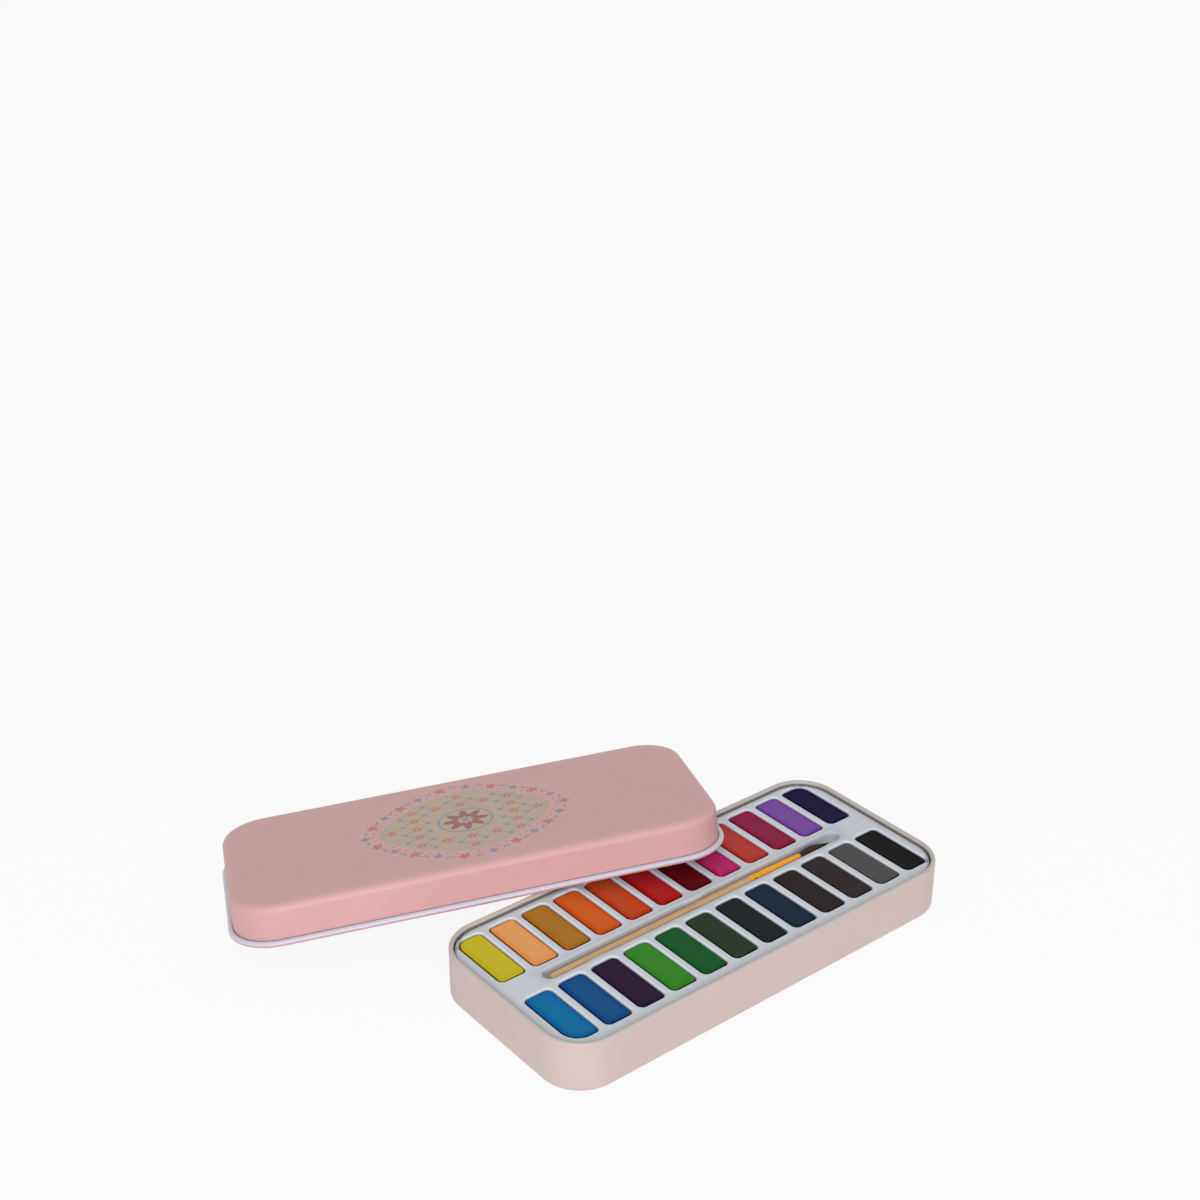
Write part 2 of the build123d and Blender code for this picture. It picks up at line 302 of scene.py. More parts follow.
def rounded_outline(length, width, radii, side_points=2):
    """Rounded rectangle, anticlockwise from its low left corner, and the outward normal at each point.

    A corner is an arc: its centre plus its radius times (cos, sin) over a quarter turn. A side is a row
    of even steps that stops a short lead before each arc, which keeps the shading of the side flat.
    """
    sign = np.array([(-1, -1), (1, -1), (1, 1), (-1, 1)])
    radii = np.broadcast_to(radii, 4).astype(float)[:, None]
    centre = sign * (np.array((length, width)) / 2 - radii)
    angle = pi + pi / 2 * np.arange(4)[:, None] + np.linspace(0, pi / 2, CORNER_STEPS + 1)
    turn = np.stack([np.cos(angle), np.sin(angle)], -1)
    corner = centre[:, None] + radii[:, None] * turn
    start, end = corner[:, -1], np.roll(corner[:, 0], -1, 0)
    run = np.linalg.norm(end - start, axis=1, keepdims=True)
    lead = np.minimum(LEAD, run / 4) / run
    share = lead + (1 - 2 * lead) * np.linspace(0, 1, side_points)
    side = start[:, None] + share[..., None] * (end - start)[:, None]
    points = np.concatenate([corner, side], 1).reshape(-1, 2)
    normals = np.concatenate([turn, np.repeat(turn[:, -1:], side_points, 1)], 1).reshape(-1, 2)
    return points, normals


def carried(outline, profile):
    """Grid of a profile of (out, height) carried round an outline: point plus out times normal."""
    points, normals = outline
    flat = points + profile[:, :1, None] * normals
    height = np.broadcast_to(profile[:, 1:, None], flat.shape[:2] + (1,))
    return np.concatenate([flat, height], -1)


def spun(along, radius, sides):
    """Grid of a round bar along X: the brush's axis plus radius times (cos, sin) of the way round.

    The radius is one number for each place along the bar, or a grid that also varies round it.
    """
    angle = np.arange(sides) * 2 * pi / sides
    radius = np.broadcast_to(np.reshape(radius, (len(along), -1)), (len(along), sides))
    x = np.broadcast_to(along[:, None], radius.shape)
    return np.stack([x, BRUSH_Y + radius * np.cos(angle), BRUSH_Z + radius * np.sin(angle)], -1)


def bump_at(values, middle, width):
    """Smooth swelling: a raised cosine that is 1 at the middle and 0 half a width away."""
    share = np.clip(np.abs(values - middle) / (width / 2), 0, 1)
    return (1 + np.cos(pi * share)) / 2


class Skin:
    """Grids and flat caps gathered into one mesh, with a finish number and a tint for each."""

    def __init__(self):
        self.points = []
        self.tints = []
        self.faces = []
        self.finishes = []
        self.count = 0

    def keep(self, points, faces, finish, tint):
        """Store points and the faces between them."""
        flat = points.reshape(-1, 3)
        self.points.append(flat)
        self.tints.append(np.broadcast_to(tint, points.shape[:-1]).reshape(-1))
        self.faces += (faces + self.count).tolist()
        self.finishes += [finish] * len(faces)
        self.count += len(flat)

    def grid(self, points, finish=0, tint=0.0):
        """Quads between neighbours of one or more grids, whose last column joins the first."""
        index = np.arange(points[..., 0].size).reshape(points.shape[:-1])
        index = np.concatenate([index, index[..., :1]], -1)
        quads = np.stack([index[..., :-1, :-1], index[..., :-1, 1:],
                          index[..., 1:, 1:], index[..., 1:, :-1]], -1)
        self.keep(points, quads.reshape(-1, 4), finish, tint)

    def cap(self, ring, finish=0, tint=0.0):
        """One flat face on a closed ring."""
        self.keep(ring, np.arange(len(ring))[None], finish, tint)

    def mesh(self, name, weld=WELD, top=None):
        """Weld the grids into one mesh whose faces point outwards; top is a height to fill flat."""
        mesh = bpy.data.meshes.new(name)
        mesh.from_pydata(np.concatenate(self.points).tolist(), [], self.faces)
        mesh.polygons.foreach_set("material_index", self.finishes)
        tint = mesh.attributes.new("tint", "FLOAT", "POINT")
        tint.data.foreach_set("value", np.concatenate(self.tints).astype(np.float32))
        work = bmesh.new()
        work.from_mesh(mesh)
        bmesh.ops.remove_doubles(work, verts=work.verts, dist=weld)
        if top is not None:
            rims = [edge for edge in work.edges if edge.is_boundary
                    and all(abs(vertex.co.z - top) < weld for vertex in edge.verts)]
            bmesh.ops.triangle_fill(work, use_beauty=True, edges=rims, normal=(0, 0, 1))
        bmesh.ops.recalc_face_normals(work, faces=work.faces)
        work.to_mesh(mesh)
        work.free()
        mesh.shade_smooth()
        mesh.set_sharp_from_angle(angle=SHARP)
        return mesh


def add_object(name, data):
    """A new object in the scene."""
    thing = bpy.data.objects.new(name, data)
    bpy.context.scene.collection.objects.link(thing)
    return thing


def place_piece(name, mesh, finishes, body, replaced=()):
    """Put a finished mesh into the scene as a piece that rides on a body."""
    piece = add_object(name, mesh)
    for finish in finishes:
        mesh.materials.append(finish)
    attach(piece, body)
    if replaced:
        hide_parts(*replaced)
    return piece


class Finish:
    """A material and short calls that add nodes to it."""

    def __init__(self, name, roughness, metallic=0.0, specular=0.5):
        self.material = bpy.data.materials.new(name)
        self.material.use_nodes = True
        self.tree = self.material.node_tree
        self.shader = self.tree.nodes["Principled BSDF"]
        self.shader.inputs["Roughness"].default_value = roughness
        self.shader.inputs["Metallic"].default_value = metallic
        self.shader.inputs["Specular IOR Level"].default_value = specular
        self.coordinates = self.add("ShaderNodeTexCoord").outputs["Object"]

    def add(self, kind, **inputs):
        """Add a node; a value that is a socket is joined, and any other is set."""
        node = self.tree.nodes.new(kind)
        for name, value in inputs.items():
            socket = node.inputs[name.replace("_", " ")]
            if isinstance(value, bpy.types.NodeSocket):
                self.tree.links.new(value, socket)
            else:
                socket.default_value = value
        return node

    def stretched(self, scale):
        """Object coordinates with their own scale along each axis."""
        return self.add("ShaderNodeMapping", Vector=self.coordinates, Scale=scale).outputs["Vector"]

    def noise(self, feature, detail=3.0, vector=None, rough=0.5):
        """Cloudy pattern whose patches are about a feature wide, from 0 to 1."""
        node = self.add("ShaderNodeTexNoise", Vector=vector or self.coordinates, Scale=1 / feature,
                        Detail=detail, Roughness=rough)
        return node.outputs["Fac"]

    def ranged(self, value, low, high, new_low=0.0, new_high=1.0):
        """Value carried from one range to another, and held there."""
        node = self.add("ShaderNodeMapRange", Value=value)
        limits = {"From Min": low, "From Max": high, "To Min": new_low, "To Max": new_high}
        for name, limit in limits.items():
            node.inputs[name].default_value = limit
        return node.outputs["Result"]

    def blend(self, share, first, second):
        """Colour between two colours by a share."""
        node = self.tree.nodes.new("ShaderNodeMix")
        node.data_type = "RGBA"
        self.tree.links.new(share, node.inputs["Factor"])
        for socket, value in ((node.inputs[6], first), (node.inputs[7], second)):
            if isinstance(value, bpy.types.NodeSocket):
                self.tree.links.new(value, socket)
            else:
                socket.default_value = (*value, 1)
        return node.outputs[2]

    def attribute(self, name):
        """A number kept at each point of the mesh."""
        node = self.tree.nodes.new("ShaderNodeAttribute")
        node.attribute_name = name
        return node.outputs["Fac"]

    def dress(self, colour=None, roughness=None, height=None, depth=0.0):
        """Join colour, roughness and a bump of a real depth to the shader."""
        if colour is not None:
            self.tree.links.new(colour, self.shader.inputs["Base Color"])
        if roughness is not None:
            self.tree.links.new(roughness, self.shader.inputs["Roughness"])
        if height is not None:
            bump = self.add("ShaderNodeBump", Height=height, Distance=depth)
            self.tree.links.new(bump.outputs["Normal"], self.shader.inputs["Normal"])
        return self.material


def toned(base, factor):
    """A colour made lighter or darker by a factor."""
    return [min(1.0, part * factor) for part in base]


def enamel(name, base, roughness=0.42):
    """Satin baked enamel: a very slight cloud in its colour and a fine orange peel."""
    finish = Finish(name, roughness)
    cloud = finish.ranged(finish.noise(22 * MM, 3), 0.3, 0.7)
    tone = finish.blend(cloud, toned(base, 0.975), toned(base, 1.02))
    shine = finish.ranged(finish.noise(6 * MM, 4), 0.3, 0.7, roughness - 0.04, roughness + 0.05)
    return finish.dress(tone, shine, finish.noise(2.5 * MM, 1), 0.008 * MM)


def lacquered(name, base, roughness=0.3):
    """Lacquered side of the sheet: smooth, with faint rolling marks along the tin."""
    finish = Finish(name, roughness)
    marks = finish.noise(0.5 * MM, 3, finish.stretched((0.05, 1, 1)))
    tone = finish.blend(finish.ranged(marks, 0.3, 0.7), toned(base, 0.97), toned(base, 1.03))
    return finish.dress(tone, None, marks, 0.003 * MM)


def plastic(name, base):
    """Vacuum-formed sheet: half gloss, a soft waviness, a faint cloud, and a painted highlight on the lips
    of the wells.
    """
    finish = Finish(name, 0.34)
    cloud = finish.ranged(finish.noise(9 * MM, 3), 0.3, 0.7)
    tone = finish.blend(cloud, toned(base, 0.97), toned(base, 1.02))
    # The tint lightens the lips of the wells: a painted highlight
    tone = finish.blend(finish.attribute("tint"), tone, toned(base, 1.35))
    shine = finish.ranged(finish.noise(4 * MM, 3), 0.3, 0.7, 0.28, 0.4)
    return finish.dress(tone, shine, finish.noise(1.8 * MM, 3), 0.03 * MM)


def pressed_paint(name, base):
    """Pressed pigment: dusty in the middle, purer at a tint of 1, and nearly black at a tint of 2, which is
    painted shade in the gap round the cake.
    """
    finish = Finish(name, 0.62, specular=0.04)
    strongest = max(base)
    pure = [part * (part / strongest) ** 0.35 for part in base]
    dusty = [part * 0.97 + 0.03 * sum(base) / 3 + 0.002 for part in base]
    patches = finish.noise(3.5 * MM, 5, rough=0.6)
    body = finish.blend(finish.ranged(patches, 0.35, 0.7), toned(dusty, 0.97), toned(dusty, 1.03))
    speckle = finish.ranged(finish.noise(0.35 * MM, 2), 0.62, 0.75, 0.0, 0.35)
    grained = finish.blend(speckle, body, toned(dusty, 1.25))
    tint = finish.attribute("tint")
    tone = finish.blend(finish.ranged(tint, 0, 1), grained, pure)
    # A tint of 2 paints the cake's side and lower edge nearly black: painted shade in the gap between cake
    # and well
    tone = finish.blend(finish.ranged(tint, 1, 2), tone, toned(base, 0.18))
    grain = finish.noise(0.5 * MM, 6, rough=0.7)
    shine = finish.ranged(patches, 0.3, 0.7, 0.5, 0.72)
    return finish.dress(tone, shine, grain, 0.05 * MM)


def bare_wood(name, base, grain):
    """Bare turned wood: slow bands and darker fibres, both drawn out along the handle."""
    finish = Finish(name, 0.58, specular=0.35)
    fibres = finish.noise(0.45 * MM, 4, finish.stretched((0.035, 1, 1)), 0.65)
    bands = finish.noise(1.6 * MM, 3, finish.stretched((0.02, 1, 1)))
    light = finish.blend(finish.ranged(bands, 0.35, 0.65), base, toned(base, 1.1))
    tone = finish.blend(finish.ranged(fibres, 0.5, 0.72), light, grain)
    return finish.dress(tone, None, fibres, 0.03 * MM)


def gilt(name, base):
    """Gold-coloured metal with faint drawing marks along the tube; the dimples are darkened as painted
    shade.
    """
    finish = Finish(name, 0.3, metallic=0.85)
    marks = finish.noise(0.25 * MM, 3, finish.stretched((0.06, 1, 1)))
    tone = finish.blend(finish.ranged(marks, 0.3, 0.7), toned(base, 0.94), toned(base, 1.05))
    # The tint darkens the dimples as painted shade
    tone = finish.blend(finish.attribute("tint"), tone, toned(base, 0.12))
    shine = finish.ranged(marks, 0.3, 0.7, 0.26, 0.4)
    return finish.dress(tone, shine, marks, 0.006 * MM)


def hair(name, base):
    """Brush hair: each strand has its own tone, and the tips are lighter."""
    finish = Finish(name, 0.5, specular=0.4)
    tone = finish.blend(finish.attribute("tint"), toned(base, 0.6), toned(base, 1.7))
    return finish.dress(tone)


def printed(name, base):
    """Litho ink: as satin as the enamel under it, with small breaks in the tone."""
    finish = Finish(name, 0.44)
    breaks = finish.ranged(finish.noise(0.7 * MM, 4, rough=0.65), 0.3, 0.7)
    tone = finish.blend(breaks, toned(base, 0.93), toned(base, 1.07))
    return finish.dress(tone, None, finish.noise(2.5 * MM, 1), 0.008 * MM)


def build_tin(tin):
    """The drawn tin: rounded foot, upright wall, and a rim rolled inwards until it meets the wall."""
    roll = tin.roll / 2
    inward = np.degrees(np.arccos((roll - tin.sheet) / roll))
    seat = -tin.foot - LEAD
    outside = path((-tin.foot, 0), arc((-tin.foot, tin.foot), tin.foot, -90, 0),
                   (0, tin.foot + LEAD), (0, tin.height - roll - LEAD), (0, tin.height - roll))
    rim = arc((-roll, tin.height - roll), roll, 0, 360 - inward, 26)
    inside = path(rim[-1], (-tin.sheet, tin.foot + LEAD),
                  arc((-tin.foot, tin.foot), tin.foot - tin.sheet, 0, -90), (seat, tin.sheet))
    # Points of the outside and of the rim at which one finish ends; the outside up to foot_ends takes a
    # darker enamel as painted shade where the wall turns under to the table
    foot_ends, enamel_ends = 4, 2
    outline = rounded_outline(tin.length, tin.width, tin.corner)
    skin = Skin()
    under = carried(outline, path((seat, 0), (-tin.foot, 0)))
    skin.cap(under[0])
    skin.grid(under)
    skin.grid(carried(outline, outside[:foot_ends + 1]), 2)
    skin.grid(carried(outline, outside[foot_ends:]), 0)
    skin.grid(carried(outline, rim[:enamel_ends + 1]), 0)
    skin.grid(carried(outline, rim[enamel_ends:]), 1)
    floor = carried(outline, inside)
    skin.grid(floor, 1)
    skin.cap(floor[-1], 1)
    finishes = [enamel("tin_enamel", tin.enamel), lacquered("tin_lacquer", tin.lacquer),
                enamel("tin_foot_enamel", tin.foot_shade_tone)]
    place_piece("tin_body", skin.mesh("tin_body"), finishes, "tin", ["tin_base"])


def lid_outline(lid, tin):
    """Outline of the lid's wall, a gap and a sheet outside the tin's."""
    out = lid.gap + lid.sheet
    return rounded_outline(tin.length + 2 * out, tin.width + 2 * out, tin.corner + out)


def lean(lid, tin):
    """Matrix that carries the lid from its own frame to where it leans on the tin's back rim.

    It turns about its own upright axis, tips about X by the slope at which it stands on the table
    and lies over the rim's roll, and moves to its place behind the rim.
    """
    turn, bead = abs(lid.lean_turn), lid.bead / 2
    out = lid.gap + lid.sheet
    reach = sin(turn) * (tin.length / 2 - tin.corner) + cos(turn) * (tin.width / 2 - tin.corner)
    run = lid.lean_out + reach + tin.corner + out + bead - lid.sheet
    above = tin.roll / 2 + lid.lean_gap + bead
    rise = tin.height - tin.roll / 2 - bead
    slope = asin(rise / hypot(above, run)) + atan2(above, run)
    stand_off = tin.roll / 2 + lid.lean_gap
    y = tin.width / 2 - tin.roll / 2 + stand_off * sin(slope) + lid.lean_out * cos(slope)
    z = tin.height - tin.roll / 2 + stand_off * cos(slope) - lid.lean_out * sin(slope)
    place = Matrix.Translation((lid.lean_along, y, z))
    return place @ Matrix.Rotation(-slope, 4, "X") @ Matrix.Rotation(lid.lean_turn, 4, "Z")


def build_lid(lid, tin):
    """The lid: flat top, rounded edge, upright wall and a lower edge curled outwards into a bead."""
    bead = lid.bead / 2
    middle = (bead - lid.sheet, bead)
    meets = 180 - np.degrees(np.arccos(middle[0] / bead))
    top = path((-lid.edge - LEAD, lid.height), arc((-lid.edge, lid.height - lid.edge), lid.edge, 90, 0, 12),
               (0, lid.height - lid.edge - LEAD))
    foot = bead + bead * sin(radians(meets))
    inside = path((-lid.sheet, bead), (-lid.sheet, lid.height - lid.edge - LEAD),
                  arc((-lid.edge, lid.height - lid.edge), lid.edge - lid.sheet, 0, 90),
                  (-lid.edge - LEAD, lid.height - lid.sheet))
    outline = lid_outline(lid, tin)
    skin = Skin()
    skin.cap(carried(outline, top[:1])[0])
    skin.grid(carried(outline, path(top, (0, foot + lid.crevice))))
    # A band of the wall just over the bead takes finish 2, the painted crevice shade
    skin.grid(carried(outline, path((0, foot + lid.crevice), (0, foot))), 2)
    # Degrees round the bead at which its finish changes; up to shaded the bead takes the painted shade of
    # the crevice
    shaded, outermost, under, inmost = meets - 12, 0, -70, -180
    for start, end, steps, finish in ((meets, shaded, 2, 2), (shaded, outermost, 14, 1),
                                      (outermost, under, 8, 0), (under, inmost, 12, 1)):
        skin.grid(carried(outline, arc(middle, bead, start, end, steps)), finish)
    ceiling = carried(outline, inside)
    skin.grid(ceiling, 1)
    skin.cap(ceiling[-1], 1)
    mesh = skin.mesh("lid_body")
    mesh.transform(lean(lid, tin))
    # The third finish is painted shade for the crevice over the bead
    finishes = [enamel("lid_enamel", lid.enamel), lacquered("lid_lacquer", lid.lacquer, 0.25),
                lacquered("lid_crevice", lid.crevice_shade_tone, 0.5)]
    place_piece("lid_body", mesh, finishes, "lid", ["lid_shell"])


def rosette(petals, depth, columns=40):
    """Flower outline of radius 1: the radius swells as the cosine of the way round times the petals."""
    angle = np.arange(columns) * 2 * pi / columns
    radius = 1 - depth + depth * np.cos(petals * angle)
    return np.stack([radius * np.cos(angle), radius * np.sin(angle)], -1)


def disc(columns):
    """Round outline of radius 1."""
    return rosette(1, 0, columns)


def leaf(slim, columns=24):
    """Leaf outline from its stalk at 0 to its tip at 1: a sine arch that leans to the stalk."""
    angle = np.arange(columns) * 2 * pi / columns
    along = (1 - np.cos(angle)) / 2
    return np.stack([along, slim * np.sin(angle) * np.sqrt(1 - 0.7 * along)], -1)


def lozenge(power, columns=160):
    """Soft lozenge: |x| and |y| to a power add up to 1."""
    angle = np.arange(columns) * 2 * pi / columns
    radius = (np.abs(np.cos(angle)) ** power + np.abs(np.sin(angle)) ** power) ** (-1 / power)
    return np.stack([radius * np.cos(angle), radius * np.sin(angle)], -1)


def stamped(shape, places, scale, turn=0.0):
    """A shape repeated at places, each copy scaled and turned."""
    places = np.reshape(places, (-1, 2))
    turn = np.broadcast_to(turn, len(places))
    spin = np.stack([np.cos(turn), np.sin(turn), -np.sin(turn), np.cos(turn)], -1).reshape(-1, 2, 2)
    scale = np.broadcast_to(np.reshape(scale, (-1, 1, 1)), (len(places), 1, 1))
    return places[:, None] + scale * (shape @ spin)


def ink_slabs(shapes, low, high):
    """Thin closed slabs on outlines: middle, edge, edge and middle again, from the top to the underside."""
    middle = np.broadcast_to(shapes.mean(1, keepdims=True), shapes.shape)
    flat = np.stack([middle, shapes, shapes, middle], 1)
    height = np.broadcast_to(np.array([high, high, low, low])[:, None, None], flat.shape[:-1] + (1,))
    return np.concatenate([flat, height], -1)


def build_print(art, lid, tin):
    """A plain geometric ornament in thin layers of ink.

    A cream lozenge holds a lattice of flowers and leaves round a star, and beads and sprigs follow
    its edge. The shares in each line are of the flower's or the star's radius.
    """
    half = np.array((art.length, art.width)) / 2
    column, row = np.meshgrid(np.arange(-9, 10), np.arange(-9, 10), indexing="ij")
    lattice = np.stack([column, row], -1).reshape(-1, 2)
    even = lattice.sum(1) % 2 == 0
    places = lattice * np.array((art.pitch, art.pitch * ROW_SHARE)) / 2
    inside = (np.abs(places / half) ** FIELD_POWER).sum(1) < LATTICE_REACH
    clear = np.linalg.norm(places, axis=1) > art.star * STAR_MARGIN
    on_field = inside & clear & even
    flowers = places[on_field & (lattice[:, 0] % 2 == 0)]
    dots = places[on_field & (lattice[:, 0] % 2 == 1)]
    beads = stamped(lozenge(FIELD_POWER, BEADS) * half, (0, 0), BEAD_RING)[0]
    sprigs = stamped(lozenge(FIELD_POWER, SPRIGS) * half, (0, 0), SPRIG_RING)[0]
    around = np.arctan2(sprigs[:, 1], sprigs[:, 0])
    skin = Skin()
    top = lid.height

    def lay(layer, finish, shape, scale, places=(0, 0), turn=0.0):
        """Stamp a shape as one layer over the ones beneath, its underside sunk a little into them."""
        low = top + (layer - 1 - INK_OVERLAP) * art.ink
        skin.grid(ink_slabs(stamped(shape, places, scale, turn), low, top + layer * art.ink), finish)

    lay(1, 0, lozenge(FIELD_POWER) * half, 1)
    lay(2, 1, rosette(5, 0.2), art.flower, flowers, 0.3)
    lay(3, 0, disc(16), art.flower * 0.28, flowers)
    lay(2, 2, rosette(4, 0.25, 24), art.flower * 0.6, dots, pi / 4)
    for turn in (LEAF_TURN, pi - LEAF_TURN, pi + LEAF_TURN, -LEAF_TURN):
        reach = art.flower * 1.1 * np.array((cos(turn), sin(turn)))
        lay(2, 3, leaf(0.2), art.flower * 0.9, flowers + reach, turn)
    lay(1, 2, disc(12), art.bead, beads[::2])
    lay(1, 3, disc(12), art.bead, beads[1::2])
    lay(1, 1, rosette(5, 0.22, 30), art.flower * 1.1, sprigs[::4], around[::4])
    lay(1, 2, rosette(4, 0.25, 24), art.flower * 0.9, sprigs[2::4], around[2::4])
    for side in (-0.9, 0.9):
        lay(1, 3, leaf(0.24), art.flower, sprigs[1::2], around[1::2] + side)
    lay(2, 2, disc(60), art.star * 1.08)
    lay(3, 0, disc(60), art.star)
    lay(4, 4, rosette(8, 0.22, 96), art.star * 0.9)
    lay(5, 0, rosette(8, 0.16, 64), art.star * 0.34)
    lay(6, 2, disc(24), art.star * 0.16)
    mesh = skin.mesh("lid_print", weld=WELD / 2)
    mesh.transform(lean(lid, tin))
    inks = [printed("ink_" + name, getattr(art, name)) for name in ("field", "coral", "blue", "sage", "red")]
    place_piece("lid_print", mesh, inks, "lid")


def cake_corners(cakes, column, back):
    """Radii of a cake's corners from the low left one; an end cake gives way to the tin's own corner."""
    radii = np.full(4, cakes.corner)
    if column == 0:
        radii[3 if back else 0] = cakes.back_left if back else cakes.front_left
    if column == len(FRONT_ROW) - 1:
        radii[2 if back else 1] = cakes.back_right if back else cakes.front_right
    return radii


def cake_list():
    """Name, column and row of every cake."""
    return [(name, column, back) for back, row in ((True, BACK_ROW), (False, FRONT_ROW))
            for column, name in enumerate(row)]


def pan_outline(cakes, name, column, back, grow=0.0):
    """Outline of a cake, from the box of its solid, grown by a gap."""
    low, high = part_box("cake_" + name)
    radii = cake_corners(cakes, column, back) + grow
    points, normals = rounded_outline(high.x - low.x + 2 * grow, high.y - low.y + 2 * grow, radii)
    return points + np.array(((low.x + high.x) / 2, (low.y + high.y) / 2)), normals


def build_insert(insert, cakes):
    """The formed sheet: skirt, flat top, a well for each cake and the brush trough with its two nubs."""
    top = INSERT_HIGH.z
    spread = INSERT_HIGH - INSERT_LOW
    skin = Skin()
    edge = path((-insert.edge - LEAD, top), arc((-insert.edge, top - insert.edge), insert.edge, 90, 0),
                (0, top - insert.edge - LEAD), (0, INSERT_LOW.z))
    skin.grid(carried(rounded_outline(spread.x, spread.y, insert.corner), edge))
    lip, depth = insert.lip, insert.well_depth
    well = path((lip + LEAD, top), arc((lip, top - lip), lip, 90, 180), (0, top - lip - LEAD),
                (0, top - depth))
    # Painted highlight on the lips of the wells, brightest a little under the top; stretched holds its share
    # at each point of the profile
    brightest, highlight_width = top - 0.3 * lip, 1.2 * lip
    stretched = bump_at(well[:, 1], brightest, highlight_width)
    for name, column, back in cake_list():
        grid = carried(pan_outline(cakes, name, column, back, insert.well_gap), well)
        skin.grid(grid, tint=stretched[:, None])
        skin.cap(grid[-1])
    lip, soft = insert.trough_lip, insert.trough_floor
    floor = top - insert.trough_depth
    groove = path((lip + LEAD, top), arc((lip, top - lip), lip, 90, 180), (0, top - lip - LEAD),
                  (0, floor + soft + LEAD), arc((-soft, floor + soft), soft, 0, -90), (-soft - LEAD, floor))
    width = FERRULE_HIGH.y - FERRULE_LOW.y + 2 * insert.trough_gap
    half_flat = 0.01 * MM
    points, normals = rounded_outline(insert.trough_length, width, width / 2 - half_flat, TROUGH_STEPS)
    grid = carried((points + np.array((0, BRUSH_Y)), normals), groove)
    fall = np.clip((lip - groove[:, 0]) / lip, 0, 1)
    for place, side in ((insert.back_nub, 1), (insert.front_nub, -1)):
        swell = bump_at(points[:, 0], place, insert.nub_length) * np.clip(normals[:, 1] * side, 0, 1)
        reach = insert.nub_reach * np.sqrt(swell) * fall[:, None] * (groove[:, 1:] > floor + soft / 2)
        grid[..., 1] -= side * reach
    skin.grid(grid)
    skin.cap(grid[-1])
    mesh = skin.mesh("insert_sheet", top=top)
    piece = place_piece("insert_sheet", mesh, [plastic("insert_plastic", insert.plastic)], "tin",
                        ["insert_tray"])
    wall = piece.modifiers.new("sheet", "SOLIDIFY")
    wall.thickness = insert.sheet
    wall.offset = -1


def build_cake(cakes, name, column, back, base):
    """One pressed cake: upright side, rounded edge, raised rim and a shallow dish that is a little uneven.

    The dish falls as a smooth step over the rim's width, and two slow sine waves make it uneven. The
    first points of the side are painted nearly black as shade in the gap round the cake, and the tint then
    fades to nothing in the middle.
    """
    low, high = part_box("cake_" + name)
    outline = pan_outline(cakes, name, column, back)
    top, rim = high.z, np.linspace(cakes.edge, cakes.rim, CAKE_RIM_STEPS + 1)[1:]
    fall = (rim - cakes.edge) / (cakes.rim - cakes.edge)
    side = path((0, low.z), (0, top - cakes.edge - LEAD),
                arc((-cakes.edge, top - cakes.edge), cakes.edge, 0, 90))
    dish = np.stack([-rim, top - cakes.dish * fall ** 2 * (3 - 2 * fall)], -1)
    grid = carried(outline, path(side, dish))
    middle = np.array(((low.x + high.x) / 2, (low.y + high.y) / 2, grid[-1, 0, 2]))
    share = np.linspace(1, 0, CAKE_DISH_STEPS + 1)[1:, None, None]
    inner = middle + share * (grid[-1] - middle)
    number = column + len(BACK_ROW) * back
    waves = (np.sin(inner[..., 0] / cakes.wave_along + number)
             + np.sin(inner[..., 1] / cakes.wave_across + 2.3 * number))
    inner[..., 2] += cakes.uneven * waves * (1 - share[..., 0])
    # The first points of the side get a tint of 2: painted shade in the gap round the cake
    shade_points, rim_tint = 7, 0.2
    tint = np.concatenate([np.full(shade_points, 2), np.ones(len(side) - shade_points), 1 - (1 - rim_tint) * fall,
                           rim_tint * share[:, 0, 0] ** 2])
    skin = Skin()
    skin.cap(grid[0], tint=2)
    skin.grid(np.concatenate([grid, inner]), tint=tint[:, None])
    place_piece("paint_" + name, skin.mesh("paint_" + name), [pressed_paint("paint_" + name, base)],
                "tin", ["cake_" + name])


def build_handle(brush):
    """The stick: radius grows evenly to the ferrule, and the far end is a half ellipse."""
    start, end = HANDLE_LOW.x, FERRULE_LOW.x
    nose_angle = np.linspace(0, pi / 2, 9)
    body = np.linspace(start + brush.nose, end + LEAD, 60)
    along = np.concatenate([start + brush.nose * (1 - np.cos(nose_angle)), body[1:], [end + LEAD]])
    swell = brush.end_radius + (brush.handle_radius - brush.end_radius) * (body - start) / (end - start)
    radius = np.concatenate([swell[0] * np.sin(nose_angle), swell[1:], [0]])
    skin = Skin()
    skin.grid(spun(along, radius, HANDLE_SIDES))
    place_piece("brush_stick", skin.mesh("brush_stick"), [bare_wood("handle_wood", brush.wood, brush.grain)],
                "brush", ["brush_handle"])


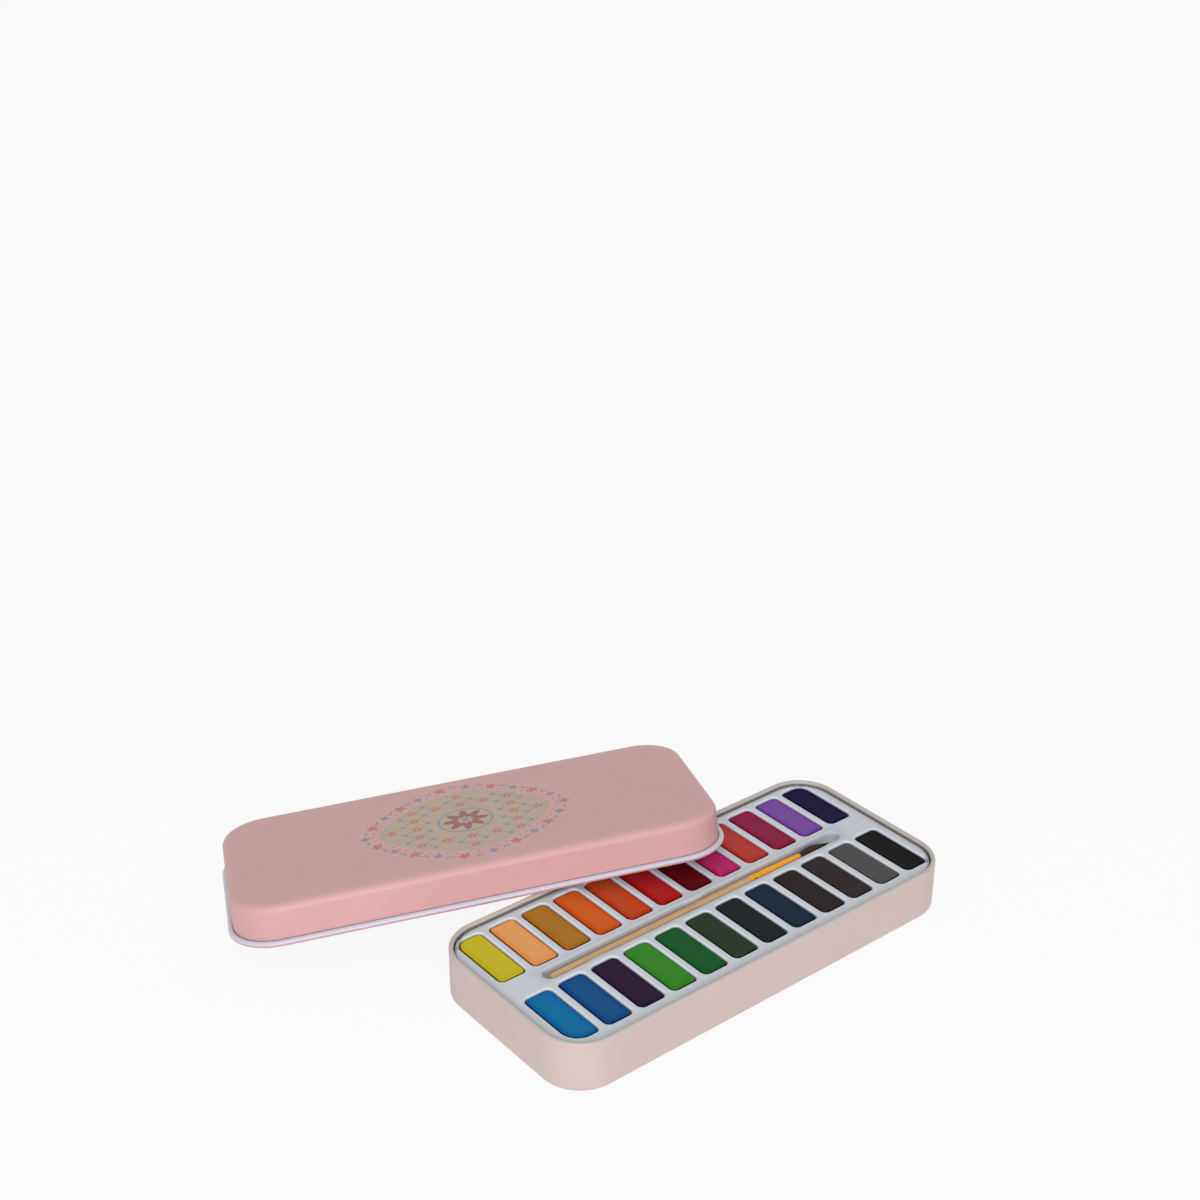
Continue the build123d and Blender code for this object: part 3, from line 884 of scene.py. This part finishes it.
def build_ferrule(brush):
    """The metal tube: an even taper with two crimped rings, each with a row of punched dimples.

    A ring lowers the radius by a raised cosine along the tube, and a dimple by one both ways.
    """
    start, end = FERRULE_LOW.x, FERRULE_HIGH.x
    root = (FERRULE_HIGH.y - FERRULE_LOW.y) / 2
    wall = root - brush.handle_radius
    length = end - start
    along = np.concatenate([np.linspace(0, brush.crimped, 120), np.linspace(brush.crimped, length, 40)[1:]])
    taper = root + (brush.mouth_radius - root) * along / length
    shade = np.zeros((len(along), FERRULE_SIDES))
    radius = np.repeat(taper[:, None], FERRULE_SIDES, 1)
    turn = np.arange(FERRULE_SIDES) * brush.dimples / FERRULE_SIDES
    for number, place in enumerate((brush.first_crimp, brush.second_crimp)):
        ring = bump_at(along, place, brush.crimp_width)[:, None]
        round_ring = bump_at((turn + number / 2) % 1, 0.5, brush.dimple_share)
        spot = bump_at(along, place, brush.dimple_width)[:, None] * round_ring
        radius -= brush.crimp * ring + brush.dimple * spot
        shade = np.maximum(shade, spot)
    lips = np.array([length, length, length - brush.buried, 0, 0])
    inner = np.array([brush.mouth_radius, brush.mouth_radius - wall, brush.mouth_radius - wall,
                      root - wall, root])
    skin = Skin()
    skin.grid(spun(start + along, radius, FERRULE_SIDES), tint=shade)
    skin.grid(spun(start + lips, inner, FERRULE_SIDES))
    place_piece("brush_collar", skin.mesh("brush_collar"), [gilt("ferrule_metal", brush.metal)],
                "brush", ["brush_ferrule"])


def build_bristles(brush):
    """The tuft: strands on a sunflower spiral that swell to a belly and draw in to one point.

    A strand's distance from the axis is its share of the root's radius times a spread that depends
    only on the way along, so none cross; outer strands are shorter, and each bends a little by chance.
    """
    chance = np.random.default_rng(7)
    number = np.arange(brush.strands)
    share = np.sqrt((number + 0.5) / brush.strands)
    angle = number * pi * (3 - sqrt(5))
    mouth, tip = FERRULE_HIGH.x, BRISTLES_HIGH.x
    root = brush.mouth_radius - (FERRULE_HIGH.y - FERRULE_LOW.y) / 2 + brush.handle_radius
    uneven = brush.ragged * chance.random(brush.strands)
    reach = (tip - mouth) * (1 - brush.shorter * share ** 2 - uneven)
    step = np.linspace(0, 1, 9)
    along = mouth - brush.buried + step * (reach[:, None] + brush.buried)
    way = np.clip((along - mouth) / (tip - mouth), 0, 1)
    belly_end, point_start, drawn_in = 0.8, 0.4, 0.75
    swell = brush.belly * np.sin(pi * np.clip(way / belly_end, 0, 1)) ** 1.5
    point = np.clip((way - point_start) / (1 - point_start), 0, 1) ** 1.6
    spread = (1 + swell) * (1 - drawn_in * point)
    stray = brush.stray * (chance.random((2, brush.strands, 1)) - 0.5) * way
    y = BRUSH_Y + share[:, None] * root * spread * np.cos(angle)[:, None] + stray[0]
    z = BRUSH_Z + share[:, None] * root * spread * np.sin(angle)[:, None] + stray[1]
    thick = brush.hair_radius * np.sqrt(np.clip(1 - step ** 3, 0, 1)) * np.ones((brush.strands, 1))
    thick[:, 0] = 0
    turn = np.arange(HAIR_SIDES) * 2 * pi / HAIR_SIDES
    points = np.stack([np.broadcast_to(along[..., None], thick.shape + (HAIR_SIDES,)),
                       y[..., None] + thick[..., None] * np.cos(turn),
                       z[..., None] + thick[..., None] * np.sin(turn)], -1)
    own_tone, tip_tone = 0.7, 0.25
    tone = chance.random((brush.strands, 1, 1)) * own_tone + tip_tone * way[..., None] ** 3
    skin = Skin()
    skin.grid(points, tint=np.broadcast_to(np.clip(tone, 0, 1), points.shape[:-1]))
    place_piece("brush_tuft", skin.mesh("brush_tuft", weld=WELD / 10), [hair("bristle_hair", brush.hair)],
                "brush", ["brush_bristles"])


def make_floor(stage):
    """A wide pale table, which the camera and reflections see lifted most of the way to white."""
    half = stage.floor_half
    corners = [(-half, -half, 0), (half, -half, 0), (half, half, 0), (-half, half, 0)]
    mesh = bpy.data.meshes.new("table_top")
    mesh.from_pydata(corners, [], [(0, 1, 2, 3)])
    table = add_object("table_top", mesh)
    finish = Finish("table", 0.9, specular=0.0)
    finish.shader.inputs["Base Color"].default_value = (*stage.floor_tone, 1)
    tree = finish.tree
    white = finish.add("ShaderNodeEmission", Strength=1.0)
    mix = tree.nodes.new("ShaderNodeMixShader")
    tree.links.new(finish.ranged(rays_that_show(tree), 0, 1, 0, stage.lift), mix.inputs[0])
    tree.links.new(finish.shader.outputs[0], mix.inputs[1])
    tree.links.new(white.outputs[0], mix.inputs[2])
    tree.links.new(mix.outputs[0], tree.nodes["Material Output"].inputs["Surface"])
    mesh.materials.append(finish.material)


def rays_that_show(tree):
    """1 for camera, glossy and transmission rays, and 0 for the rest."""
    rays = tree.nodes.new("ShaderNodeLightPath")
    total = rays.outputs["Is Camera Ray"]
    for name in ("Is Glossy Ray", "Is Transmission Ray"):
        either = tree.nodes.new("ShaderNodeMath")
        either.operation = "MAXIMUM"
        tree.links.new(total, either.inputs[0])
        tree.links.new(rays.outputs[name], either.inputs[1])
        total = either.outputs[0]
    return total


def make_world(stage):
    """White surroundings for the camera and reflections, and a plain soft light for the rest."""
    world = bpy.data.worlds.new("studio")
    bpy.context.scene.world = world
    world.use_nodes = True
    tree = world.node_tree
    back = tree.nodes["Background"]
    back.inputs["Color"].default_value = (1, 1, 1, 1)
    level = tree.nodes.new("ShaderNodeMapRange")
    tree.links.new(rays_that_show(tree), level.inputs["Value"])
    level.inputs["To Min"].default_value = stage.ambient
    level.inputs["To Max"].default_value = 1.0
    tree.links.new(level.outputs["Result"], back.inputs["Strength"])


def make_lamp(name, power, side, place, target):
    """A square soft lamp that looks at a target."""
    light = bpy.data.lights.new(name, "AREA")
    light.energy = power
    light.size = side
    lamp = add_object(name, light)
    lamp.location = place
    lamp.rotation_euler = (Vector(target) - Vector(place)).to_track_quat("-Z", "Y").to_euler()


def make_camera(stage):
    """The camera at the photograph's angle: target plus distance along azimuth and elevation."""
    data = bpy.data.cameras.new("camera")
    data.lens = stage.lens
    data.sensor_width = SENSOR_WIDTH
    camera = add_object("camera", data)
    level = cos(stage.elevation)
    back = Vector((sin(stage.azimuth) * level, -cos(stage.azimuth) * level, sin(stage.elevation)))
    camera.location = Vector((stage.target_x, stage.target_y, 0)) + back * stage.distance
    camera.rotation_euler = (-back).to_track_quat("-Z", "Y").to_euler()
    bpy.context.scene.camera = camera


class PAINTTIN_OT_tin(Operator):
    """Build the drawn tin with its rolled rim"""
    bl_idname = "painttin.tin"
    bl_label = "Tin"

    def execute(self, context):
        build_tin(context.scene.paint_tin.tin)
        return {"FINISHED"}


class PAINTTIN_OT_lid(Operator):
    """Build the lid with its curled edge, leaning on the tin"""
    bl_idname = "painttin.lid"
    bl_label = "Lid"

    def execute(self, context):
        settings = context.scene.paint_tin
        build_lid(settings.lid, settings.tin)
        return {"FINISHED"}


class PAINTTIN_OT_print(Operator):
    """Print the ornament on the lid"""
    bl_idname = "painttin.print"
    bl_label = "Lid Print"

    def execute(self, context):
        settings = context.scene.paint_tin
        build_print(settings.print, settings.lid, settings.tin)
        return {"FINISHED"}


class PAINTTIN_OT_insert(Operator):
    """Build the formed insert with its wells and brush trough"""
    bl_idname = "painttin.insert"
    bl_label = "Insert"

    def execute(self, context):
        settings = context.scene.paint_tin
        build_insert(settings.insert, settings.cakes)
        return {"FINISHED"}


class PAINTTIN_OT_cakes(Operator):
    """Build the twenty-four cakes of paint"""
    bl_idname = "painttin.cakes"
    bl_label = "Cakes of Paint"

    def execute(self, context):
        settings = context.scene.paint_tin
        for name, column, back in cake_list():
            build_cake(settings.cakes, name, column, back, getattr(settings.paints, name))
        return {"FINISHED"}


class PAINTTIN_OT_brush(Operator):
    """Build the brush: handle, ferrule and bristles"""
    bl_idname = "painttin.brush"
    bl_label = "Brush"

    def execute(self, context):
        brush = context.scene.paint_tin.brush
        build_handle(brush)
        build_ferrule(brush)
        build_bristles(brush)
        return {"FINISHED"}


class PAINTTIN_OT_stage(Operator):
    """Set the table, the soft lights and the camera"""
    bl_idname = "painttin.stage"
    bl_label = "Stage"

    def execute(self, context):
        stage = context.scene.paint_tin.stage
        context.scene.view_settings.view_transform = "Standard"
        make_camera(stage)
        make_floor(stage)
        make_world(stage)
        make_lamp("key", stage.key_power, KEY_SIDE, KEY_PLACE, KEY_TARGET)
        return {"FINISHED"}


class PAINTTIN_PT_panel(Panel):
    """Buttons that build the pieces of the paint tin"""
    bl_idname = "PAINTTIN_PT_panel"
    bl_label = "Paint Tin"
    bl_space_type = "VIEW_3D"
    bl_region_type = "UI"
    bl_category = "Paint Tin"

    def draw(self, context):
        for operator in OPERATORS:
            self.layout.operator(operator.bl_idname)


OPERATORS = (PAINTTIN_OT_stage, PAINTTIN_OT_tin, PAINTTIN_OT_lid, PAINTTIN_OT_print,
             PAINTTIN_OT_insert, PAINTTIN_OT_cakes, PAINTTIN_OT_brush)
CLASSES = (TinSettings, LidSettings, PrintSettings, InsertSettings, CakeSettings, PaintColours,
           BrushSettings, StageSettings, PaintTinSettings, *OPERATORS, PAINTTIN_PT_panel)


def register():
    """Register the classes and hang the settings on the scene."""
    for kind in CLASSES:
        bpy.utils.register_class(kind)
    bpy.types.Scene.paint_tin = PointerProperty(type=PaintTinSettings)


def unregister():
    """Take the settings off the scene and unregister the classes."""
    del bpy.types.Scene.paint_tin
    for kind in reversed(CLASSES):
        bpy.utils.unregister_class(kind)


def main():
    """Build every piece in order."""
    register()
    for operator in OPERATORS:
        group, name = operator.bl_idname.split(".")
        getattr(getattr(bpy.ops, group), name)()


if __name__ == "__main__":
    main()
